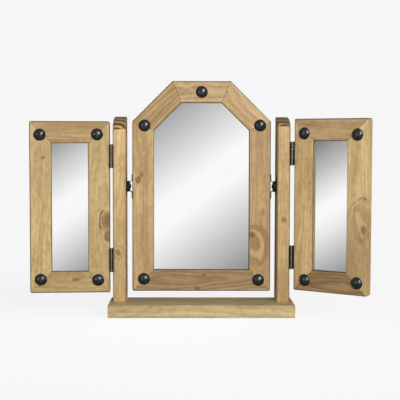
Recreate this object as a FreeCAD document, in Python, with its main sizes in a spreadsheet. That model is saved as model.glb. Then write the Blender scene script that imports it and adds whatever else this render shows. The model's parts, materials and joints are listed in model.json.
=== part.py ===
import FreeCAD, Part

import math
import os

import Sketcher
from FreeCAD import Placement, Rotation, Vector

# Trifold dressing-table mirror: a clipped-corner mirror that tilts between two
# posts on a base board, with a narrow wing mirror hinged to each post.
#
# Millimetres and degrees. X runs to the right, Y to the back, Z up. The origin
# is the middle of the base board's underside.

SIZES = [
    # Base board and posts
    ("base_depth", 100, "base board, front to back"),
    ("base_height", 28.5, "base board, thickness"),
    ("base_overhang", 8.5, "base board beyond each post's outer face"),
    ("base_edge_radius", 3, "rounding of the base board's upper edges"),
    ("post_width", 28, "post, side to side"),
    ("post_depth", 60, "post, front to back"),
    ("post_above_pivot", 151.5, "pivot axis to the top of a post"),
    ("left_post_fall", 28.7, "fall of the left post's rounded top from back to front"),
    ("right_post_fall", 20.9, "fall of the right post's rounded top"),
    ("post_nose_radius", 3, "easing where a post's top meets its front"),
    ("post_edge_chamfer", 2.2, "chamfer along a post's edges"),
    ("post_screw_spread", 32, "between the two base screws under one post"),
    ("screw_recess", 1, "base screw's head below the base board's underside"),
    # Centre mirror
    ("centre_width", 300, "centre frame, side to side"),
    ("centre_height", 455, "centre frame, bottom to top"),
    ("corner_clip", 87, "leg of the centre frame's clipped upper corners"),
    ("centre_clearance", 22.5, "base board to the centre frame's lower edge"),
    ("centre_rest_tilt", 1.3, "degrees that the centre frame leans back at rest"),
    # Wings
    ("wing_width", 172, "wing frame, side to side"),
    ("wing_lift", 20, "base board to the left wing's lower edge"),
    ("wing_drop", 11.3, "top of a post to the left wing's upper edge"),
    ("right_wing_raise", 6.5, "how much higher the right wing hangs"),
    ("wing_gap", 5.4, "post to wing, side to side"),
    ("left_rest_angle", 3.8, "degrees that the left wing stands forward at rest"),
    ("right_rest_angle", 34.2, "degrees that the right wing stands forward at rest"),
    # Frame stock, glass and backing
    ("rail_width", 47.2, "frame stock, outer edge to sight edge"),
    ("rail_thickness", 20, "frame stock, front to back"),
    ("rail_edge_radius", 4, "rounding of the stock's front outer edge"),
    ("sight_edge_radius", 2, "rounding of the stock's sight edge"),
    ("lip_thickness", 6, "stock in front of the glass"),
    ("rebate_width", 8, "lip that holds the glass"),
    ("glass_thickness", 3, "mirror glass"),
    ("board_thickness", 3, "backing board"),
    ("glass_play", 0.5, "glass and board to the rebate's wall"),
    # Studs and retaining points
    ("stud_diameter", 26, "domed stud"),
    ("stud_rise", 8, "dome above the wood"),
    ("stud_rim", 0.8, "straight rim under the dome"),
    ("nail_diameter", 3, "stud's square nail, across its corners"),
    ("nail_length", 14, "stud's nail in the wood"),
    ("point_width", 7, "flat steel point that holds a backing board"),
    ("point_thickness", 0.7, "flat steel point"),
    ("point_length", 16, "flat steel point, half of it in the wood"),
    # Swivel pivots of the centre mirror
    ("pivot_gap", 13.5, "centre frame to post, each side"),
    ("pivot_setback", 18.5, "post's front face to the pivot axis"),
    ("pivot_pin_diameter", 5, "pivot pin"),
    ("pivot_head_diameter", 9, "pivot pin's head, inside the strap"),
    ("pivot_head_height", 1.8, "pivot pin's head"),
    ("strap_stand_off", 6.5, "centre frame to the strap's outer face"),
    ("strap_thickness", 1.5, "sprung strap, sheet"),
    ("strap_depth", 14, "strap, front to back"),
    ("strap_web", 20, "strap's raised middle, height"),
    ("strap_arm", 3, "height of each sloping arm of the strap"),
    ("strap_foot", 13, "each foot of the strap, height"),
    ("plate_thickness", 1.5, "plate on the post, sheet"),
    ("plate_height", 39, "plate on the post"),
    ("plate_depth", 15, "plate on the post, front to back"),
    ("plate_screw_spread", 30, "between the plate's two screws"),
    ("disc_diameter", 24, "friction disc between plate and strap"),
    # Butt hinges
    ("hinge_height", 51, "butt hinge"),
    ("leaf_width", 18, "pin axis to the free edge of a leaf"),
    ("leaf_thickness", 1.2, "leaf, sheet"),
    ("barrel_diameter", 6.4, "knuckles"),
    ("barrel_stand_off", 0.3, "post's front face to the barrel"),
    ("hinge_pin_diameter", 3, "hinge pin"),
    ("knuckle_gap", 0.4, "between knuckles"),
    ("upper_hinge_inset", 74.7, "wing's upper edge to the upper hinge's middle"),
    ("lower_hinge_inset", 71, "wing's lower edge to the lower hinge's middle"),
    ("leaf_screw_setback", 12, "pin axis to the row of screws in a leaf"),
    ("leaf_screw_stagger", 1.5, "screws to each side of that row"),
    ("leaf_screw_pitch", 17, "between screws along a leaf"),
    # Screws
    ("small_screw_head", 5.4, "head of the hinge and pivot screws"),
    ("small_screw_shank", 3, "shank of the hinge and pivot screws"),
    ("small_screw_length", 15, "hinge and pivot screws"),
    ("base_screw_head", 9, "head of the screws under the base board"),
    ("base_screw_shank", 4.5, "shank of the screws under the base board"),
    ("base_screw_length", 65, "screws under the base board"),
    # Clearances between pieces that turn on each other
    ("turning_clearance", 0.05, "round a pin, on the radius"),
    ("running_gap", 0.3, "between faces that pass each other"),
]

SIDES = (-1, 1)
HINGES = ("lower", "upper")
KNUCKLES = 3
SCREW_SIDES = 6
STUD_SIDES = 10
NAIL_SIDES = 4
# Height of the rings of flats on a forged stud, as shares of its dome
STUD_RINGS = (0, 0.5, 0.9)
OVERSHOOT = "10"

# Sizes that follow from the sheet
HALF_CENTRE = "Sizes.centre_width / 2"
POST_INNER = f"({HALF_CENTRE} + Sizes.pivot_gap)"
POST_MIDDLE = f"({POST_INNER} + Sizes.post_width / 2)"
POST_OUTER = f"({POST_INNER} + Sizes.post_width)"
POST_BACK = "(Sizes.base_depth / 2)"
POST_FRONT = f"({POST_BACK} - Sizes.post_depth)"
PIVOT_HEIGHT = "(Sizes.base_height + Sizes.centre_clearance + Sizes.centre_height / 2)"
POST_LENGTH = f"({PIVOT_HEIGHT} + Sizes.post_above_pivot - Sizes.base_height)"
WING_HEIGHT = f"({POST_LENGTH} - Sizes.wing_lift - Sizes.wing_drop)"
HINGE_X = f"({POST_OUTER} + Sizes.wing_gap / 2)"
HINGE_Y = f"({POST_FRONT} - Sizes.barrel_stand_off - Sizes.barrel_diameter / 2)"
REBATE_WALL = "(Sizes.rail_width - Sizes.rebate_width)"
PANE_INSET = f"({REBATE_WALL} + Sizes.glass_play)"
DISC_LENGTH = (
    "(Sizes.pivot_gap - Sizes.plate_thickness"
    " - Sizes.strap_stand_off - Sizes.running_gap)"
)

# The studs are nailed by hand, a few millimetres off the middle of each mitre:
# (to the right, up) for each corner of a frame, in the order of its rails.
LEFT_WING_SCATTER = [(-0.6, 5.7), (-2.6, 3.9), (-4.1, -4.6), (-1.4, -5.6)]
RIGHT_WING_SCATTER = [(4.4, 0), (0.9, 3.2), (-1.1, -10.7), (0.9, -7.9)]
CENTRE_SCATTER = {0: (1.6, 2.9), 1: (-2.9, 0.5), 2: (0, 1.4), 5: (2.7, 0.7)}
CROWN_SCATTER = (0.2, 0.1)

doc = FreeCAD.newDocument("trifold_mirror")
nodes = {}


# ---------------------------------------------------------------- sheet

def make_sheet():
    """Spreadsheet with one named cell for each driving dimension."""
    table = doc.addObject("Spreadsheet::Sheet", "Sizes")
    for row, (alias, number, note) in enumerate(SIZES, start=1):
        table.set(f"A{row}", alias)
        table.set(f"B{row}", str(number))
        table.setAlias(f"B{row}", alias)
        table.set(f"C{row}", note)
    doc.recompute()
    return table


sheet = make_sheet()


def value(expression):
    """Number that an expression in the sheet's sizes comes to."""
    return float(sheet.evalExpression(expression.replace("Sizes.", "")))


# ------------------------------------------------------------- sketches

def new_body(name):
    body = doc.addObject("PartDesign::Body", name)
    body.Label = name
    return body


def sketch_on(body, plane_role, name):
    """Sketch on one of the body's own origin planes."""
    plane = next(f for f in body.Origin.OriginFeatures if f.Role == plane_role)
    sketch = body.newObject("Sketcher::SketchObject", name)
    sketch.AttachmentSupport = (plane, [""])
    sketch.MapMode = "FlatFace"
    return sketch


def bind_distance(sketch, kind, geometry, point, expression):
    """Hold a point at a signed distance from the origin, read from the sheet."""
    if expression == "0":
        axis = -2 if kind == "DistanceX" else -1
        sketch.addConstraint(Sketcher.Constraint("PointOnObject", geometry, point, axis))
        return
    index = sketch.addConstraint(
        Sketcher.Constraint(kind, -1, 1, geometry, point, value(expression)))
    sketch.setExpression(f"Constraints[{index}]", expression)


def outline(sketch, corners, crown=None):
    """Closed outline of straight lines through corners given as expressions.

    With a crown, its radius, the third side is an arc that sets off level.
    """
    first = sketch.GeometryCount
    points = [Vector(value(across), value(up), 0) for across, up in corners]
    count = len(points)
    for i in range(count):
        side = Part.LineSegment(points[i], points[(i + 1) % count])
        if crown and i == 2:
            middle = points[i] - Vector(0, value(crown), 0)
            end = points[i + 1] - middle
            ring = Part.Circle(middle, Vector(0, 0, 1), value(crown))
            side = Part.ArcOfCircle(ring, math.pi / 2, math.atan2(end.y, end.x))
        sketch.addGeometry(side, False)
    for i, (across, up) in enumerate(corners):
        following = first + (i + 1) % count
        sketch.addConstraint(Sketcher.Constraint("Coincident", first + i, 2, following, 1))
        bind_distance(sketch, "DistanceX", first + i, 1, across)
        bind_distance(sketch, "DistanceY", first + i, 1, up)
    if crown:
        index = sketch.addConstraint(Sketcher.Constraint("Radius", first + 2, value(crown)))
        sketch.setExpression(f"Constraints[{index}]", crown)


def circle(sketch, across, up, diameter):
    centre = Vector(value(across), value(up), 0)
    ring = Part.Circle(centre, Vector(0, 0, 1), value(diameter) / 2)
    geometry = sketch.addGeometry(ring, False)
    bind_distance(sketch, "DistanceX", geometry, 3, across)
    bind_distance(sketch, "DistanceY", geometry, 3, up)
    index = sketch.addConstraint(
        Sketcher.Constraint("Diameter", geometry, value(diameter)))
    sketch.setExpression(f"Constraints[{index}]", diameter)


# ------------------------------------------------------------- features

def pad(body, sketch, length, side="One side", reverse=False):
    feature = body.newObject("PartDesign::Pad", f"{body.Name}_pad")
    feature.Profile = sketch
    feature.SideType = side
    feature.Reversed = reverse
    feature.setExpression("Length", length)
    return feature


def pocket_through(body, sketch):
    """Pocket through everything, to both sides of its sketch."""
    feature = body.newObject("PartDesign::Pocket", f"{body.Name}_pocket")
    feature.Profile = sketch
    feature.Type = "ThroughAll"
    feature.SideType = "Symmetric"
    return feature


def turned_on_x(body, corners):
    """Solid of revolution about X from a half section of (x, radius) corners."""
    section = sketch_on(body, "XY_Plane", f"{body.Name}_section")
    outline(section, corners)
    feature = body.newObject("PartDesign::Revolution", f"{body.Name}_turned")
    feature.Profile = section
    feature.ReferenceAxis = (section, ["H_Axis"])
    feature.Angle = 360
    return feature


def edges_of(feature, chosen):
    """Names of the edges of a feature that the test function picks out."""
    doc.recompute()
    return [f"Edge{i}" for i, edge in enumerate(feature.Shape.Edges, start=1) if chosen(edge)]


def rounded(body, feature, chosen, radius):
    """Fillet of the chosen edges."""
    fillet = body.newObject("PartDesign::Fillet", f"{body.Name}_fillet")
    fillet.Base = (feature, edges_of(feature, chosen))
    fillet.setExpression("Radius", radius)
    return fillet


def chamfered(body, feature, chosen, width):
    """Chamfer of the chosen edges."""
    chamfer = body.newObject("PartDesign::Chamfer", f"{body.Name}_chamfer")
    chamfer.Base = (feature, edges_of(feature, chosen))
    chamfer.setExpression("Size", width)
    return chamfer


def on_plane(edge, axis, position):
    """True where the whole edge lies at one position along x, y or z."""
    return all(abs(getattr(v.Point, axis) - position) < 1e-6 for v in edge.Vertexes)


# --------------------------------------------------------------- places

def shift(across, back, up):
    return Placement(Vector(across, back, up), Rotation())


def turn(axis, angle):
    return Placement(Vector(), Rotation(axis, angle))


def driven(point, direction):
    """Place of a fastener whose pattern points along +Z from its head."""
    return Placement(point, Rotation(Vector(0, 0, 1), direction))


def facing(side):
    """Turn that points +X outwards on the right (1) or the left (-1)."""
    return turn(Vector(0, 0, 1), 0 if side > 0 else 180)


def centre_place():
    """Tilted place of the centre mirror, with the origin on its pivot axis."""
    pivot = shift(0, value(POST_FRONT) + size("pivot_setback"), value(PIVOT_HEIGHT))
    return pivot * turn(Vector(1, 0, 0), -size("centre_rest_tilt"))


def wing_bottom(side):
    lift = size("base_height") + size("wing_lift")
    return lift + (size("right_wing_raise") if side > 0 else 0)


def wing_place(side):
    """Swung place of a wing, with the origin on its hinge axis, at its foot."""
    angle = size("right_rest_angle") if side > 0 else size("left_rest_angle")
    axis = shift(side * value(HINGE_X), value(HINGE_Y), wing_bottom(side))
    return axis * turn(Vector(0, 0, 1), -side * angle)


def size(alias):
    return float(getattr(sheet, alias))


# ------------------------------------------------------------ fasteners

def flat_sided(name, sides, rings):
    """Solid with flat sides about Z, through rings given as (height, radius)."""
    sections = []
    for number, (height, radius) in enumerate(rings):
        ring = doc.addObject("Part::RegularPolygon", f"{name}_ring_{number}")
        ring.Polygon = sides
        ring.setExpression("Circumradius", radius)
        ring.setExpression("Placement.Base.z", height)
        sections.append(ring)
    loft = doc.addObject("Part::Loft", name)
    loft.Sections = sections
    loft.Solid = True
    loft.Ruled = True
    return loft


def countersunk_screw(name, head, shank, length):
    """Pattern of a wood screw: head flush with z = 0, point towards +Z."""
    return flat_sided(name, SCREW_SIDES, [
        ("0", f"{head} / 2"),
        (f"({head} - {shank}) / 2", f"{shank} / 2"),
        (length, f"{shank} / 2"),
    ])


def plain_nail(name):
    """Pattern of a stud's square nail, from z = 0 towards +Z."""
    nail = doc.addObject("Part::Prism", name)
    nail.Polygon = NAIL_SIDES
    nail.setExpression("Circumradius", "Sizes.nail_diameter / 2")
    nail.setExpression("Height", "Sizes.nail_length")
    return nail


def forged_stud(name):
    """Pattern of a stud: a faceted dome towards -Z on a nail towards +Z."""
    cap = "(Sizes.stud_rise - Sizes.stud_rim)"
    rim = "(Sizes.stud_diameter / 2)"
    sphere = f"(({rim} ^ 2 + {cap} ^ 2) / (2 * {cap}))"
    rings = [("0", rim)]
    for share in STUD_RINGS:
        height = f"{cap} * {share}"
        rings.append((
            f"-Sizes.stud_rim - {height}",
            f"sqrt({sphere} ^ 2 - ({sphere} - {cap} + {height}) ^ 2)"))
    stud = doc.addObject("Part::Fuse", name)
    stud.Base = flat_sided(f"{name}_dome", STUD_SIDES, rings)
    stud.Tool = plain_nail(f"{name}_nail")
    return stud


def flat_point(name):
    """Pattern of a flat steel point along Z, centred on X."""
    point = doc.addObject("Part::Box", name)
    point.setExpression("Length", "Sizes.point_width")
    point.setExpression("Width", "Sizes.point_thickness")
    point.setExpression("Height", "Sizes.point_length")
    point.setExpression("Placement.Base.x", "-Sizes.point_width / 2")
    return point


def plane_faced(shape):
    """The same flat-sided solid, with every side on a true plane."""
    faces = []
    for face in shape.Faces:
        rings = [[vertex.Point for vertex in wire.OrderedVertexes] for wire in face.Wires]
        faces.append(Part.Face([Part.makePolygon(ring + ring[:1]) for ring in rings]))
    shell = Part.Shell(faces)
    shell.sewShape()
    return Part.Solid(shell)


def group(name, pattern, places):
    """Separate solids of one pattern, each set at its own place."""
    doc.recompute()
    solid = plane_faced(pattern.Shape)
    copies = []
    for place in places:
        copy = solid.copy()
        copy.Placement = place * copy.Placement
        copies.append(copy)
    feature = doc.addObject("Part::Feature", name)
    feature.Label = name
    feature.Shape = Part.makeCompound(copies)
    return feature


def drilled(name, blank, fasteners):
    """Blank with a hole for each fastener that enters it."""
    blank.Label = f"{name}_blank"
    cut = doc.addObject("Part::Cut", name)
    cut.Label = name
    cut.Base = blank
    cut.Tool = fasteners
    nodes[name] = cut


def together(name, features):
    compound = doc.addObject("Part::Compound", name)
    compound.Links = features
    return compound


# ------------------------------------------------------- base and posts

def base_screw_points():
    """Point on the underside below each base screw, two to a post."""
    middle = value(f"({POST_FRONT} + {POST_BACK}) / 2")
    reach = size("post_screw_spread") / 2
    return [
        Vector(side * value(POST_MIDDLE), middle + end * reach, 0)
        for side in SIDES for end in (-1, 1)
    ]


def make_base():
    """Board with rounded upper edges."""
    half_length = f"({POST_OUTER} + Sizes.base_overhang)"
    half_depth = "Sizes.base_depth / 2"
    body = new_body("base_board_blank")
    plan = sketch_on(body, "XY_Plane", "base_plan")
    outline(plan, [
        (f"-{half_length}", f"-{half_depth}"),
        (half_length, f"-{half_depth}"),
        (half_length, half_depth),
        (f"-{half_length}", half_depth),
    ])
    board = pad(body, plan, "Sizes.base_height")
    top = size("base_height")
    rounded(body, board, lambda edge: on_plane(edge, "z", top), "Sizes.base_edge_radius")
    return body


def make_post(side):
    """Post whose top rounds over from its back to a brow at the front."""
    fall = "Sizes.left_post_fall" if side < 0 else "Sizes.right_post_fall"
    brow = f"({POST_LENGTH} - {fall})"
    crown = f"(Sizes.post_depth ^ 2 + {fall} ^ 2) / (2 * {fall})"
    body = new_body("left_post_blank" if side < 0 else "right_post_blank")
    elevation = sketch_on(body, "YZ_Plane", f"{body.Name}_elevation")
    outline(elevation, [
        (POST_FRONT, "0"),
        (POST_BACK, "0"),
        (POST_BACK, POST_LENGTH),
        (POST_FRONT, brow),
    ], crown)
    post = pad(body, elevation, "Sizes.post_width", side="Symmetric")
    nosed = rounded(body, post, lambda edge: on_plane(edge, "z", value(brow)),
                    "Sizes.post_nose_radius")
    chamfered(body, nosed, lambda edge: not (lies_along_x(edge) or on_plane(edge, "z", 0)),
              "Sizes.post_edge_chamfer")
    body.Placement = shift(side * value(POST_MIDDLE), 0, size("base_height"))
    return body


# --------------------------------------------------------------- frames

def rail(name, length, first_turn, last_turn):
    """Rebated stock along X, mitred for the turns of the frame at its two ends.

    The front face is on y = 0 and the outer edge on z = 0.
    """
    body = new_body(name)
    profile = sketch_on(body, "YZ_Plane", f"{name}_profile")
    outline(profile, [
        ("0", "0"),
        ("Sizes.rail_thickness", "0"),
        ("Sizes.rail_thickness", REBATE_WALL),
        ("Sizes.lip_thickness", REBATE_WALL),
        ("Sizes.lip_thickness", "Sizes.rail_width"),
        ("0", "Sizes.rail_width"),
    ])
    stock = pad(body, profile, length, side="Symmetric")
    eased = rounded(body, stock, lambda edge: front_edge(edge, 0), "Sizes.rail_edge_radius")
    rounded(body, eased, lambda edge: front_edge(edge, size("rail_width")),
            "Sizes.sight_edge_radius")
    mitres = sketch_on(body, "XZ_Plane", f"{name}_mitres")
    beyond = f"(Sizes.rail_width + {OVERSHOOT})"
    for sign, angle in (("-", first_turn), ("", last_turn)):
        slope = f"tan({angle / 2} deg)"
        outline(mitres, [
            (f"{sign}({length} / 2)", "0"),
            (f"{sign}({length} / 2 - {slope} * {beyond})", beyond),
            (f"{sign}({length} / 2 + {OVERSHOOT})", beyond),
            (f"{sign}({length} / 2 + {OVERSHOOT})", "0"),
        ])
    pocket_through(body, mitres)
    return body


def lies_along_x(edge):
    ends = edge.Vertexes
    return len(ends) == 2 and abs(ends[0].X - ends[1].X) > edge.Length * 0.999


def front_edge(edge, height):
    return lies_along_x(edge) and on_plane(edge, "y", 0) and on_plane(edge, "z", height)


class Frame:
    """Mitred frame seen from the front: rails walked anticlockwise from bottom left.

    Its own origin is the middle of the lower edge, on the front face.
    """

    def __init__(self, name, width, height, clip, place):
        self.name = name
        self.width = width
        self.height = height
        self.clip = clip
        self.place = place
        self.rails = []
        self.corners = []

    def make_rails(self, sides):
        """Rails from (name, length, heading): heading is the way round, in degrees."""
        corner = Vector(-value(self.width) / 2, 0, 0)
        for i, (rail_name, length, heading) in enumerate(sides):
            before = (heading - sides[i - 1][2]) % 360
            after = (sides[(i + 1) % len(sides)][2] - heading) % 360
            body = rail(f"{self.name}_{rail_name}_blank", length, before, after)
            along = Vector(math.cos(math.radians(heading)), 0, math.sin(math.radians(heading)))
            middle = corner + along * (value(length) / 2)
            local = Placement(middle, Rotation(Vector(0, 1, 0), -heading))
            body.Placement = self.place * local
            self.rails.append((f"{self.name}_{rail_name}", body, body.Placement, length))
            self.corners.append((corner, heading, before))
            corner = corner + along * value(length)

    def make_pane(self, name, thickness, depth):
        """Flat pane with the frame's outline, inset to lie in the rebate."""
        half = f"({self.width} / 2 - {PANE_INSET})"
        top = f"({self.height} - {PANE_INSET})"
        corners = [(f"-{half}", PANE_INSET), (half, PANE_INSET)]
        if self.clip:
            leg = f"({self.clip} - {PANE_INSET} * (2 - sqrt(2)))"
            corners += [
                (half, f"{top} - {leg}"),
                (f"{half} - {leg}", top),
                (f"-{half} + {leg}", top),
                (f"-{half}", f"{top} - {leg}"),
            ]
        else:
            corners += [(half, top), (f"-{half}", top)]
        body = new_body(f"{self.name}_{name}")
        shape = sketch_on(body, "XZ_Plane", f"{body.Name}_outline")
        outline(shape, corners)
        pad(body, shape, thickness, reverse=True)
        body.Placement = self.place * shift(0, value(depth), 0)
        nodes[body.Label] = body

    def mitre_middle(self, corner):
        """Point on the front face where the middle lines of two rails cross."""
        point, heading, bend = self.corners[corner]
        half = size("rail_width") / 2
        inward = math.radians(heading + 90 - bend / 2)
        reach = half / math.cos(math.radians(bend / 2))
        return point + Vector(math.cos(inward), 0, math.sin(inward)) * reach

    def stud_places(self, points):
        """Places of studs on the front face, given as (point, (right, up))."""
        return [
            self.place * driven(point + Vector(right, 0, up), Vector(0, 1, 0))
            for point, (right, up) in points
        ]

    def point_places(self, marks):
        """Points laid on the backing board, from (rail number, share of its length)."""
        behind = value("Sizes.lip_thickness + Sizes.glass_thickness + Sizes.board_thickness")
        sunk = value(REBATE_WALL) - size("point_length") / 2
        places = []
        for number, share in marks:
            _, _, rail_place, length = self.rails[number]
            places.append(rail_place * shift(value(length) * share, behind, sunk))
        return places

    def fit_out(self, studs, points, screws):
        """Glass, board, studs and points, and the rails with holes for what enters them."""
        self.make_pane("glass", "Sizes.glass_thickness", "Sizes.lip_thickness")
        self.make_pane("back_board", "Sizes.board_thickness",
                       "Sizes.lip_thickness + Sizes.glass_thickness")
        stud_group = group(f"{self.name}_studs", stud_pattern, studs)
        point_group = group(f"{self.name}_retaining_points", point_pattern, points)
        nodes[stud_group.Label] = stud_group
        nodes[point_group.Label] = point_group
        nails = group(f"{self.name}_nail_bores", nail_pattern, studs)
        bores = together(f"{self.name}_bores", [nails, point_group, screws])
        for name, body, _, _ in self.rails:
            drilled(name, body, bores)


def make_wing(side):
    """Wing mirror: a plain rectangle of four rails."""
    name = "left_wing" if side < 0 else "right_wing"
    reach = size("wing_gap") / 2 + size("wing_width") / 2
    front = value(POST_FRONT) - value(HINGE_Y)
    place = wing_place(side) * shift(side * reach, front, 0)
    frame = Frame(name, "Sizes.wing_width", WING_HEIGHT, None, place)
    right_stile, left_stile = (
        ("inner_stile", "outer_stile") if side < 0 else ("outer_stile", "inner_stile"))
    frame.make_rails([
        ("bottom_rail", "Sizes.wing_width", 0),
        (right_stile, WING_HEIGHT, 90),
        ("top_rail", "Sizes.wing_width", 180),
        (left_stile, WING_HEIGHT, 270),
    ])
    scatter = LEFT_WING_SCATTER if side < 0 else RIGHT_WING_SCATTER
    studs = frame.stud_places([(frame.mitre_middle(i), scatter[i]) for i in range(4)])
    points = frame.point_places([(1, -1 / 6), (1, 1 / 6), (3, -1 / 6), (3, 1 / 6)])
    screws = group(f"{name}_hinge_screws", small_screw_pattern, leaf_screws(side, "wing"))
    nodes[screws.Label] = screws
    frame.fit_out(studs, points, screws)
    return screws


def make_centre():
    """Centre mirror: a tall frame with both upper corners clipped."""
    clip = "Sizes.corner_clip"
    slant = f"({clip} * sqrt(2))"
    stile = f"(Sizes.centre_height - {clip})"
    place = centre_place() * shift(0, -size("rail_thickness") / 2, -size("centre_height") / 2)
    frame = Frame("centre", "Sizes.centre_width", "Sizes.centre_height", clip, place)
    frame.make_rails([
        ("bottom_rail", "Sizes.centre_width", 0),
        ("right_stile", stile, 90),
        ("right_shoulder", slant, 135),
        ("top_rail", f"(Sizes.centre_width - 2 * {clip})", 180),
        ("left_shoulder", slant, 225),
        ("left_stile", stile, 270),
    ])
    marks = [(frame.mitre_middle(i), offset) for i, offset in CENTRE_SCATTER.items()]
    crown = Vector(0, 0, size("centre_height") - size("rail_width") / 2)
    studs = frame.stud_places(marks + [(crown, CROWN_SCATTER)])
    points = frame.point_places([(0, 0), (1, -1 / 6), (1, 1 / 6), (3, 0), (5, -1 / 6), (5, 1 / 6)])
    screws = group("pivot_strap_screws", small_screw_pattern, strap_screws())
    nodes[screws.Label] = screws
    frame.fit_out(studs, points, screws)
    return screws


# --------------------------------------------------------------- pivots

def strap_edge(side):
    """Place on the centre frame's edge at the pivot, with +X pointing outwards."""
    return centre_place() * shift(side * value(HALF_CENTRE), 0, 0) * facing(side)


def post_face(side):
    """Place on a post's inner face at the pivot, with +X pointing into the post."""
    setback = value(POST_FRONT) + size("pivot_setback")
    return shift(side * value(POST_INNER), setback, value(PIVOT_HEIGHT)) * facing(side)


def strap_screws():
    """Two screws through each strap's feet into the centre frame's edge."""
    middle = value("Sizes.strap_web / 2 + Sizes.strap_arm + Sizes.strap_foot / 2")
    return [
        strap_edge(side) * driven(Vector(size("strap_thickness"), 0, end * middle), Vector(-1, 0, 0))
        for side in SIDES for end in (-1, 1)
    ]


def plate_screws():
    """Two screws through each plate into the post."""
    reach = size("plate_screw_spread") / 2
    return [
        post_face(side) * driven(Vector(-size("plate_thickness"), 0, end * reach), Vector(1, 0, 0))
        for side in SIDES for end in (-1, 1)
    ]


def make_strap(side, screws):
    """Sprung strap: a web that stands off the frame on two sloping arms and feet."""
    sheet_metal = "Sizes.strap_thickness"
    crown = "Sizes.strap_stand_off"
    rise = f"({crown} - {sheet_metal})"
    run = "Sizes.strap_arm"
    inset = f"({sheet_metal} * (sqrt({run} ^ 2 + {rise} ^ 2) - {run}) / {rise})"
    web = "(Sizes.strap_web / 2)"
    knee = f"({web} + {run})"
    toe = f"({knee} + Sizes.strap_foot)"
    upper = [
        (sheet_metal, toe),
        (sheet_metal, knee),
        (crown, web),
    ]
    lower_inside = [
        (rise, f"({web} - {inset})"),
        ("0", f"({knee} - {inset})"),
        ("0", toe),
    ]
    body = new_body("left_strap_blank" if side < 0 else "right_strap_blank")
    section = sketch_on(body, "XZ_Plane", f"{body.Name}_section")
    outline(section, upper + mirrored(upper) + mirrored(lower_inside) + lower_inside)
    pad(body, section, "Sizes.strap_depth", side="Symmetric")
    bore = sketch_on(body, "YZ_Plane", f"{body.Name}_bore")
    circle(bore, "0", "0", "Sizes.pivot_pin_diameter + 2 * Sizes.turning_clearance")
    pocket_through(body, bore)
    body.Placement = strap_edge(side)
    drilled("left_pivot_strap" if side < 0 else "right_pivot_strap", body, screws)


def mirrored(corners):
    """The same corners below the middle, in the opposite order."""
    return [(across, f"-{up}") for across, up in reversed(corners)]


def make_plate(side):
    """Plate on the post, with rounded ends and the seat of the pivot pin."""
    half_height = "(Sizes.plate_height / 2)"
    half_depth = "(Sizes.plate_depth / 2)"
    body = new_body("left_plate" if side < 0 else "right_plate")
    shape = sketch_on(body, "YZ_Plane", f"{body.Name}_outline")
    outline(shape, [
        (f"-{half_depth}", f"-{half_height}"),
        (half_depth, f"-{half_height}"),
        (half_depth, half_height),
        (f"-{half_depth}", half_height),
    ])
    plate = pad(body, shape, "Sizes.plate_thickness", reverse=True)
    rounded(body, plate, lies_along_x, "Sizes.plate_depth / 3")
    bore = sketch_on(body, "YZ_Plane", f"{body.Name}_bore")
    circle(bore, "0", "0", "Sizes.pivot_pin_diameter")
    pocket_through(body, bore)
    body.Placement = post_face(side)
    return body


def make_disc(side):
    """Friction disc on the plate, just clear of the strap."""
    bore = "Sizes.pivot_pin_diameter / 2"
    rim = "Sizes.disc_diameter / 2"
    back = "(-Sizes.plate_thickness)"
    front = f"(-Sizes.plate_thickness - {DISC_LENGTH})"
    body = new_body("left_disc" if side < 0 else "right_disc")
    turned_on_x(body, [(back, bore), (back, rim), (front, rim), (front, bore)])
    body.Placement = post_face(side)
    return body


def make_pivot_pin(side):
    """Pin riveted in the plate, with its head inside the strap."""
    radius = "Sizes.pivot_pin_diameter / 2"
    head = "Sizes.pivot_head_diameter / 2"
    under_head = ("(-Sizes.pivot_gap + Sizes.strap_stand_off"
                  " - Sizes.strap_thickness - Sizes.running_gap)")
    top = f"({under_head} - Sizes.pivot_head_height)"
    body = new_body("left_pin" if side < 0 else "right_pin")
    turned_on_x(body, [
        (top, "0"),
        (top, head),
        (under_head, head),
        (under_head, radius),
        ("0", radius),
        ("0", "0"),
    ])
    body.Placement = post_face(side)
    return body


# --------------------------------------------------------------- hinges

def hinge_foot(level):
    """Lower end of a hinge above the wing's lower edge."""
    if level == "lower":
        return value("Sizes.lower_hinge_inset - Sizes.hinge_height / 2")
    return value(f"{WING_HEIGHT} - Sizes.upper_hinge_inset - Sizes.hinge_height / 2")


def leaf_place(side, level, carrier):
    """Place of a leaf, with the origin on the pin axis at the hinge's lower end."""
    if carrier == "wing":
        return wing_place(side) * shift(0, 0, hinge_foot(level))
    foot = wing_bottom(side) + hinge_foot(level)
    return shift(side * value(HINGE_X), value(HINGE_Y), foot)


def leaf_direction(side, carrier):
    """Which way along X the leaf's own wood lies from the pin axis."""
    return side if carrier == "wing" else -side


def leaf_screws(side, carrier):
    """Three staggered screws through each of a side's two leaves."""
    direction = leaf_direction(side, carrier)
    surface = direction * value("Sizes.wing_gap / 2 - Sizes.leaf_thickness")
    places = []
    for level in HINGES:
        for step, stagger in ((-1, 1), (0, -1), (1, 1)):
            head = Vector(
                surface,
                size("leaf_screw_setback") + stagger * size("leaf_screw_stagger"),
                size("hinge_height") / 2 + step * size("leaf_screw_pitch"))
            places.append(leaf_place(side, level, carrier) * driven(head, Vector(direction, 0, 0)))
    return places


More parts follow.
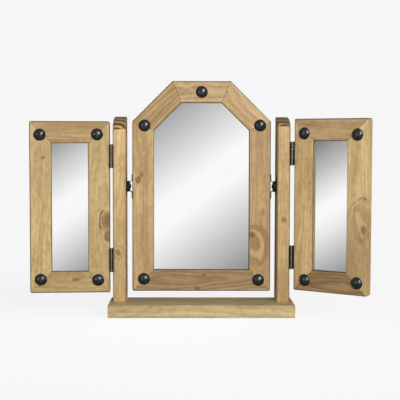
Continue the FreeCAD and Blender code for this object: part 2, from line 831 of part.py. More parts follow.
def make_leaf(side, level, carrier, screws):
    """Leaf with its share of the knuckles and gaps for the other leaf's."""
    sign = "" if leaf_direction(side, carrier) > 0 else "-"
    name = f"{'left' if side < 0 else 'right'}_{level}_hinge_{carrier}_leaf"
    gap_face = f"{sign}(Sizes.wing_gap / 2 - Sizes.leaf_thickness)"
    wood_face = f"{sign}(Sizes.wing_gap / 2)"
    root = "Sizes.hinge_pin_diameter / 2"
    body = new_body(f"{name}_blank")
    plan = sketch_on(body, "XY_Plane", f"{name}_plan")
    outline(plan, [
        (gap_face, root),
        (wood_face, root),
        (wood_face, "Sizes.leaf_width"),
        (gap_face, "Sizes.leaf_width"),
    ])
    pad(body, plan, "Sizes.hinge_height")
    barrel = sketch_on(body, "XY_Plane", f"{name}_barrel")
    circle(barrel, "0", "0", "Sizes.barrel_diameter")
    pad(body, barrel, "Sizes.hinge_height")
    bore = sketch_on(body, "XY_Plane", f"{name}_bore")
    play = "2 * Sizes.turning_clearance" if carrier == "wing" else "0"
    circle(bore, "0", "0", f"Sizes.hinge_pin_diameter + {play}")
    pocket_through(body, bore)
    cut_knuckle_gaps(body, first_gap=0 if carrier == "wing" else 1)
    body.Placement = leaf_place(side, level, carrier)
    drilled(name, body, screws)


def cut_knuckle_gaps(body, first_gap):
    """Open every second stretch of the barrel for the other leaf's knuckles."""
    pitch = f"((Sizes.hinge_height + Sizes.knuckle_gap) / {KNUCKLES})"
    front = f"-(Sizes.barrel_diameter / 2 + {OVERSHOOT})"
    back = "(Sizes.barrel_diameter / 2 + Sizes.running_gap)"
    gaps = sketch_on(body, "YZ_Plane", f"{body.Name}_gaps")
    for knuckle in range(first_gap, KNUCKLES, 2):
        low = f"{pitch} * {knuckle} - Sizes.knuckle_gap"
        high = f"{pitch} * {knuckle + 1}"
        outline(gaps, [(front, low), (back, low), (back, high), (front, high)])
    pocket_through(body, gaps)


def make_hinge_pin(side, level):
    """Plain pin through all the knuckles, peened flush."""
    name = f"{'left' if side < 0 else 'right'}_{level}_hinge_pin"
    pin = doc.addObject("Part::Cylinder", name)
    pin.Label = name
    pin.setExpression("Radius", "Sizes.hinge_pin_diameter / 2")
    pin.setExpression("Height", "Sizes.hinge_height")
    pin.Placement = leaf_place(side, level, "post")
    nodes[name] = pin


# ------------------------------------------------------------- assembly

small_screw_pattern = countersunk_screw(
    "small_screw", "Sizes.small_screw_head", "Sizes.small_screw_shank", "Sizes.small_screw_length")
base_screw_pattern = countersunk_screw(
    "base_screw", "Sizes.base_screw_head", "Sizes.base_screw_shank", "Sizes.base_screw_length")
recess_pattern = flat_sided("recess", SCREW_SIDES, [
    ("0", "Sizes.base_screw_head / 2"),
    ("Sizes.screw_recess", "Sizes.base_screw_head / 2"),
])
stud_pattern = forged_stud("stud")
nail_pattern = plain_nail("nail")
point_pattern = flat_point("retaining_point")

upwards = Vector(0, 0, 1)
lifted = Vector(0, 0, size("screw_recess"))
base_screws = group("base_screws", base_screw_pattern,
                    [driven(point + lifted, upwards) for point in base_screw_points()])
recesses = group("base_recesses", recess_pattern,
                 [driven(point, upwards) for point in base_screw_points()])
plate_screw_group = group("pivot_plate_screws", small_screw_pattern, plate_screws())
post_hinge_screws = group("post_hinge_screws", small_screw_pattern,
                          leaf_screws(-1, "post") + leaf_screws(1, "post"))
for screws in (base_screws, plate_screw_group, post_hinge_screws):
    nodes[screws.Label] = screws
stand_screws = together("stand_screws", [base_screws, plate_screw_group, post_hinge_screws])

drilled("base_board", make_base(), together("base_bores", [base_screws, recesses]))
drilled("left_post", make_post(-1), stand_screws)
drilled("right_post", make_post(1), stand_screws)

plates = together("plate_blanks", [make_plate(side) for side in SIDES])
drilled("pivot_plates", plates, plate_screw_group)
nodes["pivot_discs"] = together("pivot_discs", [make_disc(side) for side in SIDES])
nodes["pivot_pins"] = together("pivot_pins", [make_pivot_pin(side) for side in SIDES])

strap_screw_group = make_centre()
for side in SIDES:
    make_strap(side, strap_screw_group)
    wing_screws = make_wing(side)
    for level in HINGES:
        make_leaf(side, level, "post", post_hinge_screws)
        make_leaf(side, level, "wing", wing_screws)
        make_hinge_pin(side, level)


# --------------------------------------------------------------- export

def check(obj):
    """Stop where a feature failed."""
    if "Invalid" in obj.State or "Error" in obj.State:
        raise RuntimeError(f"{obj.Label} failed: {obj.State}")


def export_nodes():
    doc.recompute()
    for obj in doc.Objects:
        check(obj)
    os.makedirs("parts", exist_ok=True)
    for name, obj in nodes.items():
        shape = obj.Shape
        if shape.isNull() or not shape.isValid() or not shape.Solids:
            raise RuntimeError(f"{name} has no valid solid")
    for name, obj in nodes.items():
        obj.Shape.exportStep(f"parts/{name}.step")
    print(f"{len(nodes)} nodes written")


export_nodes()
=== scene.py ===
import json
import math
import random

import bmesh
import bpy
from mathutils import Euler, Matrix, Vector

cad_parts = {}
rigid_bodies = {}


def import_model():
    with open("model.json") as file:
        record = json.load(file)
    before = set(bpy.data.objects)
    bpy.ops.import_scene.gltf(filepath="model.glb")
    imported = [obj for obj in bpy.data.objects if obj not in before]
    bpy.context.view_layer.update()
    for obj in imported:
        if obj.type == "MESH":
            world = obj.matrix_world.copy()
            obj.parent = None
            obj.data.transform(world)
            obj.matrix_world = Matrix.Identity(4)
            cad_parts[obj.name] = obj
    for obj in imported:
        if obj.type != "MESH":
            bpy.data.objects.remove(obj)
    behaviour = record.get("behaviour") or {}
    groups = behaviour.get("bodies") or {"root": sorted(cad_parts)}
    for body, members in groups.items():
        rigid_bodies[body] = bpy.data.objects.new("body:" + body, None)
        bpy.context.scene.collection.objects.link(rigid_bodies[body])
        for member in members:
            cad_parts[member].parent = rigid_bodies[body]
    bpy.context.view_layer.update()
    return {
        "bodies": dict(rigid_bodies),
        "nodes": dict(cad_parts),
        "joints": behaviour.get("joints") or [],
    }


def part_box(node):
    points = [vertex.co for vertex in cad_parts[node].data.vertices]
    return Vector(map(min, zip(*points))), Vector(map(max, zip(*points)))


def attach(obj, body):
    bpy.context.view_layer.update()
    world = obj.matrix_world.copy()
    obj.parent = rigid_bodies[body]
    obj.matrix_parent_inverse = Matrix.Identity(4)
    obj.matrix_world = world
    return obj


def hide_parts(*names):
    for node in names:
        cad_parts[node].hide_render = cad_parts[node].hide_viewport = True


# Trifold dressing-table mirror in waxed pine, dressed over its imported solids.
# Metres, in the frame of the solids: X right, Y back, Z up.

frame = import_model()
nodes = frame["nodes"]

MM = 0.001

# The maker's sizes, as in the part's own sheet
RAIL_WIDTH = 47.2 * MM
RAIL_THICKNESS = 20 * MM
CENTRE_WIDTH, CENTRE_HEIGHT, CENTRE_CLIP = 300 * MM, 455 * MM, 87 * MM
WING_WIDTH, WING_HEIGHT, WING_GAP = 172 * MM, 370.2 * MM, 5.4 * MM
LEFT_REST, RIGHT_REST, LEAN_BACK = math.radians(3.8), math.radians(34.2), math.radians(1.3)
STUD_RADIUS, STUD_RISE = 13 * MM, 8 * MM
HINGE_STAND_OFF = 3.5 * MM
FRAME_CORNER, POST_CORNER, EASED_EDGE = 5 * MM, 3.5 * MM, 0.8 * MM
SMOOTH_ANGLE = math.radians(32)


def joint_point(name):
    return Vector(next(j for j in frame["joints"] if j["name"] == name)["pos_m"])


def hung_at(point, turn=0.0, lean=0.0):
    """Placement at a point, swung about Z and then leant back about X."""
    return (Matrix.Translation(point) @ Matrix.Rotation(turn, 4, "Z")
            @ Matrix.Rotation(-lean, 4, "X"))


def wing_front(name, joint, side, turn):
    """Front face of a wing: its origin is the middle of the lower edge."""
    axis = joint_point(joint)
    axis.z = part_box(f"{name}_bottom_rail")[0].z
    reach = side * (WING_GAP / 2 + WING_WIDTH / 2)
    return hung_at(axis, turn) @ Matrix.Translation((reach, HINGE_STAND_OFF, 0))


STAND = Matrix.Identity(4)
CENTRE = hung_at(joint_point("centre_tilt"), lean=LEAN_BACK) @ Matrix.Translation(
    (0, -RAIL_THICKNESS / 2, -CENTRE_HEIGHT / 2))
LEFT_WING = wing_front("left_wing", "left_wing_swing", -1, LEFT_REST)
RIGHT_WING = wing_front("right_wing", "right_wing_swing", 1, -RIGHT_REST)


# ------------------------------------------------------------ node shorthand

class Board:
    """Short way to lay nodes and wires on one tree.

    Each method returns a node, or the socket that its answer comes from. A source may be
    a node, whose first socket is then used, a socket or a plain value.
    """

    def __init__(self, tree):
        self.tree = tree

    def add(self, kind, plugs=None, **settings):
        """New node with its settings, and with a source for each socket that is named."""
        node = self.tree.nodes.new(kind)
        for key, setting in settings.items():
            setattr(node, key, setting)
        for key, source in (plugs or {}).items():
            self.plug(source, node.inputs[key])
        return node

    def plug(self, source, target):
        if isinstance(source, bpy.types.Node):
            source = source.outputs[0]
        if isinstance(source, bpy.types.NodeSocket):
            self.tree.links.new(source, target)
        else:
            target.default_value = (*source, 1.0) if target.type == "RGBA" else source

    def math(self, operation, *terms):
        return self.add("ShaderNodeMath", dict(enumerate(terms)), operation=operation).outputs[0]

    def vector(self, operation, *terms):
        node = self.add("ShaderNodeVectorMath", dict(enumerate(terms)), operation=operation)
        return node.outputs["Value" if operation in ("LENGTH", "DOT_PRODUCT") else "Vector"]

    def parts(self, vector):
        return self.add("ShaderNodeSeparateXYZ", {0: vector}).outputs

    def whole(self, x=0.0, y=0.0, z=0.0):
        return self.add("ShaderNodeCombineXYZ", {0: x, 1: y, 2: z})

    def spread(self, value, low, high, out_low=0.0, out_high=1.0):
        """Smooth step from one level to another."""
        plugs = {"Value": value, "From Min": low, "From Max": high, "To Min": out_low,
                 "To Max": out_high}
        return self.add("ShaderNodeMapRange", plugs, interpolation_type="SMOOTHSTEP").outputs[0]

    def noise(self, place, stretch, detail=2.0, roughness=0.5, output="Fac"):
        plugs = {"Vector": self.vector("MULTIPLY", place, stretch), "Scale": 1.0,
                 "Detail": detail, "Roughness": roughness}
        return self.add("ShaderNodeTexNoise", plugs, noise_dimensions="3D").outputs[output]

    def mix(self, share, first, second, blend="MIX"):
        node = self.add("ShaderNodeMix", {"Factor": share, "A": first, "B": second},
                        data_type="RGBA", blend_type=blend)
        return node.outputs["Result"]

    def stain(self, colour, mask, strength, tint):
        """Lay a tint over a colour where a mask shows."""
        return self.mix(self.math("MULTIPLY", mask, strength), colour, tint)

    def bump(self, height, strength, distance):
        return self.add("ShaderNodeBump", {
            "Height": height, "Strength": strength, "Distance": distance})

    def finish(self, colour, rough, normal=None, metallic=0.0, specular=0.5):
        plugs = {"Base Color": colour, "Roughness": rough, "Metallic": metallic,
                 "Specular IOR Level": specular}
        if normal:
            plugs["Normal"] = normal
        self.output(self.add("ShaderNodeBsdfPrincipled", plugs))

    def output(self, shader):
        self.add("ShaderNodeOutputMaterial", {0: shader})


def new_material(name):
    """Empty material with its board and its texture coordinates."""
    material = bpy.data.materials.new(name)
    material.use_nodes = True
    material.node_tree.nodes.clear()
    board = Board(material.node_tree)
    return material, board, board.add("ShaderNodeTexCoord").outputs


# ---------------------------------------------------------------- waxed pine

FIBRE_PALE, FIBRE = (0.640, 0.462, 0.226), (0.560, 0.394, 0.180)
STREAK, LATE_WOOD, RESIN = (0.395, 0.252, 0.108), (0.350, 0.208, 0.082), (0.300, 0.178, 0.074)
# The last colour below serves as dark wax in cracks, open joints and specks, and as painted shade
# on rounded edges and along a rail's sight edge; it also darkens a band along a rail's outer edge.
KNOT_HEART, KNOT_RIM, WAX_AND_PAINTED_SHADE = (0.215, 0.098, 0.048), (0.110, 0.052, 0.024), (0.085, 0.050, 0.026)
END_PALE, END_DARK, END_GREY_SHEEN = (0.56, 0.37, 0.16), (0.115, 0.058, 0.020), (0.150, 0.126, 0.074)
SIGHT_EDGE = -RAIL_WIDTH / 2
YEAR_RINGS, END_RINGS, FLAME_SPACING = 200, 78, 6.5 * MM


def year_rings(b, given, place):
    """Rings round a stem that wanders: distance from it, its ripple, and the late wood."""
    sway = b.noise(place, (8, 8, 2.6), 2.0, output="Color")
    sway = b.vector("SUBTRACT", sway, (0.5, 0.5, 0.5))
    sway = b.vector("MULTIPLY", sway, (34 * MM, 50 * MM, 0))
    stem = b.vector("MULTIPLY", b.vector("SUBTRACT", given["Place"], given["Pith"]), (1, 1, 0))
    radius = b.vector("LENGTH", b.vector("ADD", stem, sway))
    ripple = b.noise(place, (150, 150, 20), 2.0)
    radius = b.math("ADD", radius, b.math("MULTIPLY", ripple, 2.2 * MM))
    radius = b.math("SUBTRACT", radius, given["Swell"])
    ring = b.math("FRACT", b.math("MULTIPLY", radius, YEAR_RINGS))
    late = b.math("MULTIPLY", b.spread(ring, 0.15, 0.84), b.spread(ring, 0.84, 1.0, 1.0, 0.0))
    return radius, ripple, late


def stained_fibre(b, given, place, fibre, mottle):
    """Pale fibre with its darker streaks, and stain that has soaked in unevenly."""
    line = b.noise(place, (230, 200, 7), 3.0, 0.6)
    broad = b.noise(place, (62, 50, 3.4), 3.0, 0.6)
    cloud = b.noise(place, (34, 34, 9), 4.0, 0.6)
    pool = b.noise(place, (15, 15, 5), 2.0, 0.5)
    colour = b.mix(b.spread(fibre, 0.3, 0.7), FIBRE, FIBRE_PALE)
    streaks = b.math("MULTIPLY", b.spread(broad, 0.44, 0.64), given["Streaks"])
    colour = b.stain(colour, streaks, 0.85, STREAK)
    for layer, low, high, strength, tint in (
            (broad, 0.48, 0.34, 0.60, FIBRE_PALE), (line, 0.48, 0.64, 0.30, STREAK),
            (pool, 0.48, 0.64, 0.45, RESIN), (cloud, 0.47, 0.66, 0.34, RESIN),
            (mottle, 0.48, 0.66, 0.40, RESIN), (mottle, 0.47, 0.32, 0.40, FIBRE_PALE),
            (cloud, 0.47, 0.32, 0.40, FIBRE_PALE)):
        colour = b.stain(colour, b.spread(layer, low, high), strength, tint)
    return colour


def knotted(b, given, colour, mottle, near):
    """Flame of wild grain near a knot, ringed hearts, and the stain round them."""
    flame = b.math("SINE", b.math("MULTIPLY", given["Swell"], 2 * math.pi / FLAME_SPACING))
    flame = b.math("MULTIPLY", b.spread(flame, -0.4, 0.6, -1.0, 1.0), near)
    for way, strength, tint in ((1.0, 0.8, FIBRE_PALE), (-1.0, 0.6, LATE_WOOD)):
        mask = b.math("MAXIMUM", b.math("MULTIPLY", flame, way), 0.0)
        colour = b.stain(colour, mask, strength, tint)
    heart = given["Heart"]
    colour = b.stain(colour, b.spread(heart, 0.06, 0.60), 0.42, RESIN)
    wheel = b.spread(b.math("SINE", b.math("MULTIPLY", heart, 30.0)), 0.0, 0.9)
    wheel = b.math("MULTIPLY", wheel, b.spread(heart, 0.25, 0.55))
    colour = b.stain(colour, wheel, 0.62, KNOT_RIM)
    depth = b.spread(mottle, 0.35, 0.65, 0.60, 0.95)
    colour = b.stain(colour, b.spread(heart, 0.36, 0.74), depth, KNOT_HEART)
    return b.stain(colour, given["Crack"], 0.85, WAX_AND_PAINTED_SHADE)


def end_grain(b, aged, radius, mottle, up):
    """Ringed end grain, which drinks the stain, with a painted grey sheen on top."""
    band = b.math("FRACT", b.math("MULTIPLY", radius, END_RINGS))
    band = b.math("MULTIPLY", b.spread(band, 0.45, 0.70), b.spread(band, 1.0, 0.82))
    band = b.math("MAXIMUM", band, b.math("SUBTRACT", 0.65, aged))
    colour = b.mix(band, END_DARK, END_PALE)
    # Dark blotches where the stain soaked in, and a painted grey sheen on end grain square to the
    # grain, such as a post's flat top.
    for mask, share, tint in ((b.spread(mottle, 0.45, 0.62), 0.45, END_DARK),
                              (b.spread(up, 0.80, 0.97), 0.65, END_GREY_SHEEN)):
        colour = b.stain(colour, mask, b.math("MULTIPLY", aged, share), tint)
    return colour


def open_joints(b, given, place, spot):
    """Uneven dark line along a rail's mitres."""
    ends = b.parts(given["Mitres"])
    inset = b.math("SUBTRACT", RAIL_WIDTH / 2, spot[0])
    gap = 1.0
    for along, slope in ((spot[2], ends[1]), (b.math("MULTIPLY", spot[2], -1.0), ends[2])):
        away = b.math("SUBTRACT", b.math("ADD", along, ends[0]), b.math("MULTIPLY", inset, slope))
        gap = b.math("MINIMUM", gap, away)
    line = b.math("MULTIPLY", b.spread(gap, 1.3 * MM, 0.3 * MM), given["Rail"])
    uneven = b.spread(b.noise(place, (60, 60, 60), 2.0), 0.35, 0.6, 0.25, 0.85)
    return b.math("MULTIPLY", line, uneven)


def make_pine_group():
    """Shader group for waxed pine, in board coordinates.

    X runs across the face to the outer edge, Y into the wood, Z along it.
    """
    tree = bpy.data.node_groups.new("waxed_pine", "ShaderNodeTree")
    for name, kind, default in (
            ("Place", "Vector", (0, 0, 0)), ("Face", "Vector", (0, -1, 0)),
            ("Shift", "Vector", (0, 0, 0)), ("Pith", "Vector", (0.01, 0.04, 0)),
            ("Swell", "Float", 0.0), ("Heart", "Float", 0.0), ("Crack", "Float", 0.0),
            ("Figure", "Float", 0.5), ("Streaks", "Float", 0.5), ("Mitres", "Vector", (0, 0, 0)),
            ("Rail", "Float", 0.0), ("Edges", "Float", 1.0), ("Soak and sheen", "Float", 1.0)):
        socket = tree.interface.new_socket(name, in_out="INPUT", socket_type=f"NodeSocket{kind}")
        socket.default_value = default
    for name, kind in (("Colour", "Color"), ("Rough", "Float"), ("Height", "Float")):
        tree.interface.new_socket(name, in_out="OUTPUT", socket_type=f"NodeSocket{kind}")
    b = Board(tree)
    given = b.add("NodeGroupInput").outputs
    place = b.vector("ADD", given["Place"], given["Shift"])
    spot, face = b.parts(given["Place"]), b.parts(given["Face"])
    radius, ripple, late = year_rings(b, given, place)
    fibre = b.noise(place, (900, 900, 13), 3.0, 0.6)
    mottle = b.noise(place, (130, 130, 75), 3.0, 0.6)
    colour = stained_fibre(b, given, place, fibre, mottle)

    # Figure: late wood of the rings, drawn more strongly near a knot
    near = b.spread(given["Swell"], 1 * MM, 6 * MM)
    drawn = b.math("ADD", given["Figure"], b.math("MULTIPLY", near, 0.15))
    drawn = b.math("MULTIPLY", drawn, b.spread(ripple, 0.2, 0.7, 0.5, 1.1))
    early = b.math("MULTIPLY", b.math("SUBTRACT", 1.0, late), drawn)
    late = b.math("MULTIPLY", late, drawn)
    colour = b.stain(colour, early, 0.30, FIBRE_PALE)
    colour = b.stain(colour, late, 0.80, LATE_WOOD)
    colour = knotted(b, given, colour, mottle, near)

    up = b.math("ABSOLUTE", face[2])
    end = b.spread(up, 0.28, 0.45)
    colour = b.mix(end, colour, end_grain(b, given["Soak and sheen"], radius, mottle, up))

    # Painted shade on rounded edges and along a rail's sight edge, a darker band along its outer
    # edge, and dark wax in open mitres and specks
    flat = b.math("MAXIMUM", b.math("ABSOLUTE", face[0]), b.math("ABSOLUTE", face[1]))
    rounded_edge_shade = b.math("MULTIPLY", b.spread(flat, 0.985, 0.80), b.math("SUBTRACT", 1.0, end))
    colour = b.stain(colour, rounded_edge_shade, b.math("MULTIPLY", given["Edges"], 0.68), WAX_AND_PAINTED_SHADE)
    sight_edge_shade, outer_edge_dark = (
        b.math("MULTIPLY", b.spread(spot[0], *edge), given["Rail"])
        for edge in ((SIGHT_EDGE + 2.4 * MM, SIGHT_EDGE + 0.8 * MM),
                     (-SIGHT_EDGE - 2.4 * MM, -SIGHT_EDGE - 0.6 * MM)))
    open_joint = open_joints(b, given, place, spot)
    speck = b.spread(b.noise(place, (290, 290, 130), 1.0), 0.74, 0.80)
    for mask, strength in ((sight_edge_shade, 0.75), (outer_edge_dark, 0.44), (open_joint, 0.8), (speck, 0.55)):
        colour = b.stain(colour, mask, strength, WAX_AND_PAINTED_SHADE)

    rough = b.math("ADD", b.spread(fibre, 0.3, 0.7, 0.42, 0.56),
                   b.math("MULTIPLY", b.math("MAXIMUM", end, sight_edge_shade), 0.25))
    height = b.math("ADD", b.math("MULTIPLY", fibre, 0.55), b.math("MULTIPLY", late, -0.35))
    height = b.math("SUBTRACT", height, b.math("MULTIPLY", b.math("ADD", speck, open_joint), 0.8))
    b.add("NodeGroupOutput", {"Colour": colour, "Rough": rough, "Height": height})
    return tree


PINE_GROUP = make_pine_group()


def knot_fields(b, spot, knots, seed):
    """How far knots push the rings aside, how near their hearts are, and their cracks."""
    swell = heart = crack = 0.0
    if knots:
        shake = b.noise(b.vector("ADD", spot, (seed * 0.1, 0, 0)), (85, 0, 45), 2.0,
                        output="Color")
        shake = b.vector("SUBTRACT", shake, (0.5, 0.5, 0.5))
        spot = b.vector("ADD", spot, b.vector("MULTIPLY", shake, (9 * MM, 0, 12 * MM)))
    for across, along, breadth, length, rise, darkness, *split in knots:
        away = b.vector("SUBTRACT", spot, (across * MM, 0, along * MM))
        away = b.vector("MULTIPLY", away, (1 / (breadth * MM), 0, 1 / (length * MM)))
        far = b.vector("LENGTH", away)
        close = b.math("EXPONENT", b.math("MULTIPLY", b.math("POWER", far, 1.6), -1.0))
        swell = b.math("ADD", swell, b.math("MULTIPLY", close, rise * MM))
        heart = b.math("MAXIMUM", heart, b.math("MULTIPLY", close, darkness))
        for share, bearing, width, depth in split:
            off = b.math("ABSOLUTE", b.math("SUBTRACT", far, share))
            width, bearing = width / breadth, math.radians(bearing)
            way = (math.cos(bearing), 0, math.sin(bearing))
            facing = b.math("DIVIDE", b.vector("DOT_PRODUCT", away, way), far)
            line = b.math("MULTIPLY", b.spread(off, width, width * 0.35),
                          b.spread(facing, 0.45, 0.8, 0.0, depth))
            crack = b.math("MAXIMUM", crack, line)
    return swell, heart, crack


def waxed_pine(name, place, tone, figure=0.4, streaks=0.5, pith=(12, 45), mitres=None,
               rail_shade_and_joints=1.0, edges=1.0, aged=1.0, pool=None, knots=()):
    """Pine of one board, whose placement has X to its outer edge and Z along it.

    tone: tint of the whole board. figure, streaks: how strong its rings and streaks are.
    pith: (across, into) of the stem's middle. Sizes here are in millimetres.
    mitres: half the outer length and the slope of each end, for a rail.
    rail_shade_and_joints: how dark the painted shade lies along a rail's sight edge, and the
    darkening along its outer edge and in its joints.
    edges: how dark the painted shade lies on rounded edges.
    aged: how dark the end grain is, and how strong the painted grey sheen on it.
    pool: (along, length, depth) of a soft brown stretch, if there is one.
    knots: (across, along, breadth, length, swell, darkness). A crack round a knot adds
    (share of the knot's size, bearing in degrees, width, depth).
    """
    material, b, given = new_material(f"pine_{name}")
    turn = place.to_euler()
    spot = b.add("ShaderNodeMapping", {
        "Vector": given["Object"], "Location": place.translation, "Rotation": turn},
        vector_type="TEXTURE").outputs[0]
    face = b.add("ShaderNodeMapping", {
        "Vector": given["Normal"], "Rotation": turn}, vector_type="TEXTURE")
    swell, heart, crack = knot_fields(b, spot, knots, len(name))
    chance = random.Random(name)
    pine = b.add("ShaderNodeGroup", {
        "Place": spot, "Face": face, "Swell": swell, "Heart": heart, "Crack": crack,
        "Figure": figure, "Streaks": streaks, "Shift": [chance.uniform(-3, 3) for _ in range(3)],
        "Pith": (pith[0] * MM, pith[1] * MM, 0), "Mitres": mitres or (0, 0, 0),
        "Rail": rail_shade_and_joints if mitres else 0.0, "Edges": edges, "Soak and sheen": aged},
        node_tree=PINE_GROUP).outputs
    colour = b.mix(1.0, pine["Colour"], tone, "MULTIPLY")
    if pool:
        along, length, depth = pool
        off = b.math("SUBTRACT", b.parts(spot)[2], along * MM)
        off = b.math("DIVIDE", b.math("MULTIPLY", off, off), -(length * MM) ** 2)
        colour = b.stain(colour, b.math("EXPONENT", off), depth, RESIN)
    b.finish(colour, pine["Rough"], b.bump(pine["Height"], 0.35, 0.3 * MM), specular=0.36)
    return material


# ------------------------------------------------------------ other finishes

def mirror_silver():
    material, b, given = new_material("silvered_mirror")
    haze = b.noise(given["Object"], (30, 30, 30), 3.0)
    b.finish(b.mix(b.spread(haze, 0.3, 0.7), (0.925, 0.935, 0.935), (0.94, 0.945, 0.945)),
             b.spread(haze, 0.3, 0.7, 0.008, 0.02), metallic=1.0)
    return material


def hammered_iron():
    """Dark forged iron, waxed, with small scale pits, and painted shade towards each stud's rim.
    """
    material, b, given = new_material("hammered_iron")
    place = given["Object"]
    grit = b.noise(place, (1300, 1300, 1300), 3.0)
    patch = b.noise(place, (230, 230, 230), 3.0)
    rim = b.spread(b.add("ShaderNodeAttribute", attribute_name="rim").outputs["Fac"], 0.66, 0.92)
    colour = b.mix(b.spread(patch, 0.35, 0.65), (0.027, 0.029, 0.034), (0.052, 0.054, 0.059))
    colour = b.stain(colour, b.spread(grit, 0.60, 0.8), 0.4, (0.12, 0.10, 0.085))
    # Painted shade: the iron goes near black towards each stud's rim.
    colour = b.stain(colour, rim, 0.92, (0.003, 0.003, 0.004))
    height = b.math("ADD", patch, b.math("MULTIPLY", grit, 0.2))
    rough = b.math("ADD", b.spread(patch, 0.3, 0.7, 0.25, 0.35), b.math("MULTIPLY", rim, 0.2))
    b.finish(colour, rough, b.bump(height, 0.20, 0.6 * MM), metallic=0.7)
    return material


def worn_steel(name, dark, light, metallic, rough, front_highlight=0.0):
    """Sheet, turned or drawn steel with cloudy wear and fine scratches.

    front_highlight: how strong a painted highlight is on faces that look straight to the front,
    such as the front of a barrel.
    """
    material, b, given = new_material(name)
    cloud = b.noise(given["Object"], (210, 210, 120), 4.0, 0.6)
    scratch = b.noise(given["Object"], (2600, 2600, 240), 2.0)
    colour = b.mix(b.spread(cloud, 0.35, 0.7), dark, light)
    colour = b.stain(colour, b.spread(scratch, 0.6, 0.75), 0.4, light)
    # Painted highlight on faces that look straight to the front.
    if front_highlight:
        forward = b.math("MULTIPLY", b.parts(given["Normal"])[1], -1.0)
        colour = b.stain(colour, b.spread(forward, 0.975, 0.995), front_highlight, (0.42, 0.38, 0.33))
    b.finish(colour, b.spread(cloud, 0.3, 0.7, rough - 0.07, rough + 0.08),
             b.bump(scratch, 0.15, 0.2 * MM), metallic=metallic)
    return material


def hardboard():
    """Brown pressed board with a fibrous face."""
    material, b, given = new_material("hardboard")
    wool = b.noise(given["Object"], (700, 700, 700), 4.0, 0.7)
    cloud = b.noise(given["Object"], (35, 35, 35), 3.0)
    colour = b.mix(b.spread(wool, 0.3, 0.7), (0.17, 0.095, 0.05), (0.27, 0.165, 0.09))
    colour = b.stain(colour, b.spread(cloud, 0.4, 0.7), 0.4, (0.12, 0.07, 0.04))
    b.finish(colour, b.spread(wool, 0.3, 0.7, 0.6, 0.78), b.bump(wool, 0.3, 0.2 * MM),
             specular=0.25)
    return material


MIRROR = mirror_silver()
IRON = hammered_iron()
BLACKING = (0.010, 0.008, 0.006), (0.036, 0.029, 0.022)
BLACK_STEEL = worn_steel("blackened_steel", *BLACKING, 0.5, 0.25)
# Hinge steel carries a painted highlight down the front of each barrel.
HINGE_STEEL = worn_steel("hinge_steel", *BLACKING, 0.5, 0.3, 0.9)
ZINC_STEEL = worn_steel("zinc_steel", (0.30, 0.30, 0.31), (0.50, 0.50, 0.50), 1.0, 0.36)
HARDBOARD = hardboard()


# ------------------------------------------------------------ shaping helpers

def placed(name, data):
    """New object of the scene, at the origin."""
    thing = bpy.data.objects.new(name, data)
    bpy.context.scene.collection.objects.link(thing)
    return thing


def enter(piece, body, node):
    """Hand a finished piece to its body, and hide the node that it stands for."""
    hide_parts(node)
    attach(piece, body)


def coat(mesh, material):
    mesh.materials.clear()
    mesh.materials.append(material)


def shade(shape):
    """Smooth shading that breaks at every real corner."""
    for face in shape.faces:
        face.smooth = True
    for edge in shape.edges:
        edge.smooth = edge.calc_face_angle(0.0) < SMOOTH_ANGLE


def merged_copy(node, name):
    """Copy of a node's solid with its triangles joined into true faces."""
    piece = placed(name, nodes[node].data.copy())
    shape = bmesh.new()
    shape.from_mesh(piece.data)
    bmesh.ops.remove_doubles(shape, verts=shape.verts, dist=1e-6)
    bmesh.ops.dissolve_limit(shape, angle_limit=math.radians(0.5), verts=shape.verts,
                             edges=shape.edges)
    shade(shape)
    return piece, shape


def settle(piece):
    """Turn a piece's live modifiers into its mesh."""
    evaluated = piece.evaluated_get(bpy.context.evaluated_depsgraph_get())
    finished = bpy.data.meshes.new_from_object(evaluated)
    piece.modifiers.clear()
    piece.data = finished


def eased(piece, shape, material, wanted, width, segments=1):
    """Finish a piece from its shape, with a bevel on the wanted edges."""
    layer = (shape.edges.layers.float.get("bevel_weight_edge")
             or shape.edges.layers.float.new("bevel_weight_edge"))
    for edge in shape.edges:
        edge[layer] = float(wanted(edge))
    shape.to_mesh(piece.data)
    shape.free()
    coat(piece.data, material)
    ease = piece.modifiers.new("eased_edges", "BEVEL")
    ease.width = width
    ease.segments = segments
    ease.limit_method = "WEIGHT"
    even = piece.modifiers.new("even_shading", "WEIGHTED_NORMAL")
    even.keep_sharp = True
    settle(piece)


# -------------------------------------------------------------- board pieces

def finish_board(node, body, place, tone, shape_it=None, **grain):
    """Smooth-edged board over its solid, in its own pine."""
    piece, shape = merged_copy(node, f"{node}_board")
    if shape_it:
        shape_it(shape)
    eased(piece, shape, waxed_pine(node, place, tone, **grain),
          lambda edge: (edge.calc_length() > 20 * MM
                        and edge.calc_face_angle(0.0) > math.radians(40)), EASED_EDGE, 2)
    enter(piece, body, node)


def along_frame(heading):
    """Turn of a rail: its X then points to the outer edge and its Z the way round."""
    return Matrix.Rotation(math.radians(90 - heading), 4, "Y")


def rail_places(width, height, clip=0.0):
    """Each rail of a frame, walked from bottom left: middle, heading and mitres."""
    inset, stile = RAIL_WIDTH / 2, (height - clip) / 2
    side, slope = width / 2 - inset, clip / 2 + inset * math.sqrt(0.5)
    square, shallow = 1.0, math.tan(math.radians(22.5))
    upper = shallow if clip else square
    return {
        "bottom_rail": ((0, 0, inset), 0, (width / 2, square, square)),
        "right_stile": ((side, 0, stile), 90, (stile, square, upper)),
        "right_shoulder": ((width / 2 - slope, 0, height - slope), 135,
                           (clip * math.sqrt(0.5), shallow, shallow)),
        "top_rail": ((0, 0, height - inset), 180, (width / 2 - clip, upper, upper)),
        "left_shoulder": ((slope - width / 2, 0, height - slope), 225,
                          (clip * math.sqrt(0.5), shallow, shallow)),
        "left_stile": ((-side, 0, stile), 270, (stile, upper, square)),
    }


